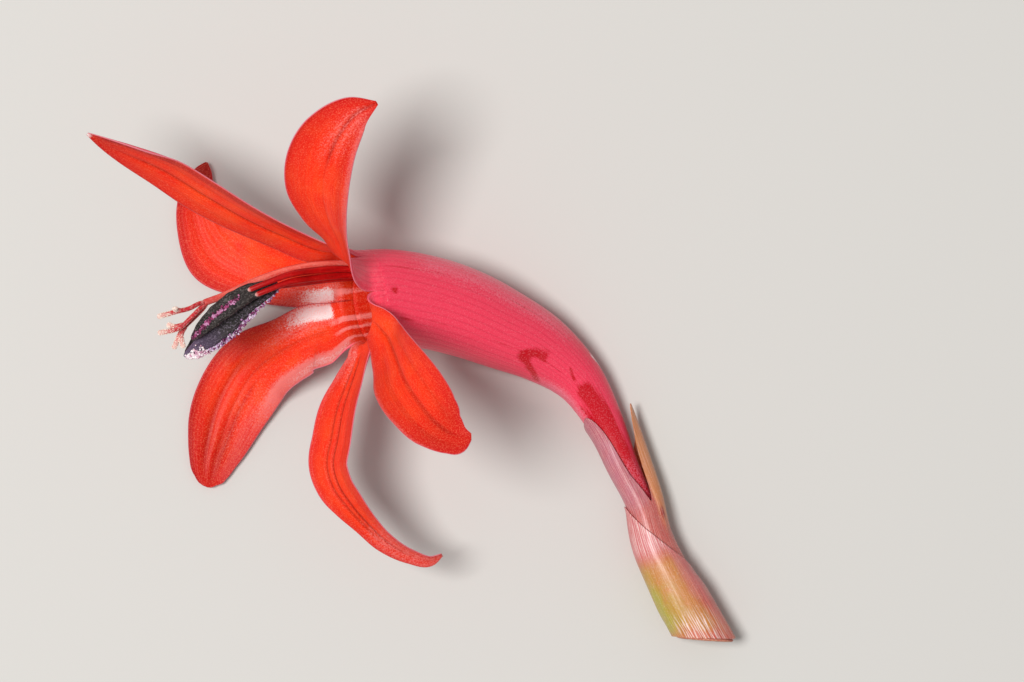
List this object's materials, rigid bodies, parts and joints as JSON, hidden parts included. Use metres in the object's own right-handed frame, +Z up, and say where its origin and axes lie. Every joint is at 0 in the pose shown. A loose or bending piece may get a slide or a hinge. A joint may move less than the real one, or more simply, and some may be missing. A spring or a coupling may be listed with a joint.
{
  "type": "bugle lily flower",
  "caption": "Single picked bugle lily flower lying on its side: curved tube, six spread tepals, stamens, forked style and sheathing bracts.",
  "frame": {"origin": "bottom centre of the bounding box, on the surface that the flower lies on", "axes": "+X from the open mouth towards the bracts' side, the longest extent; +Z up from the surface, the shortest extent; +Y towards the dorsal tepal"},
  "size_m": [0.0616, 0.052, 0.0272],
  "materials": {
    "tube": "satin",
    "tepal": "satin",
    "style": "satin",
    "branch": "satin",
    "filament": "satin",
    "anther": "matte",
    "bract": "satin",
    "ovary": "satin",
    "receptacle": "matte"
  },
  "bodies": {
    "root": {"perianth_tube": "tube", "tepal_dorsal": "tepal", "tepal_upper_near": "tepal", "tepal_lower_near": "tepal", "tepal_ventral": "tepal", "tepal_lower_far": "tepal", "tepal_upper_far": "tepal", "style": "style", "style_branch_1": "branch", "style_branch_2": "branch", "style_branch_3": "branch", "filament_1": "filament", "filament_2": "filament", "filament_3": "filament", "anther_1": "anther", "anther_2": "anther", "anther_3": "anther", "ovary": "ovary", "receptacle": "receptacle", "inner_bract": "bract", "outer_bract": "bract"}
  },
  "joints": []
}
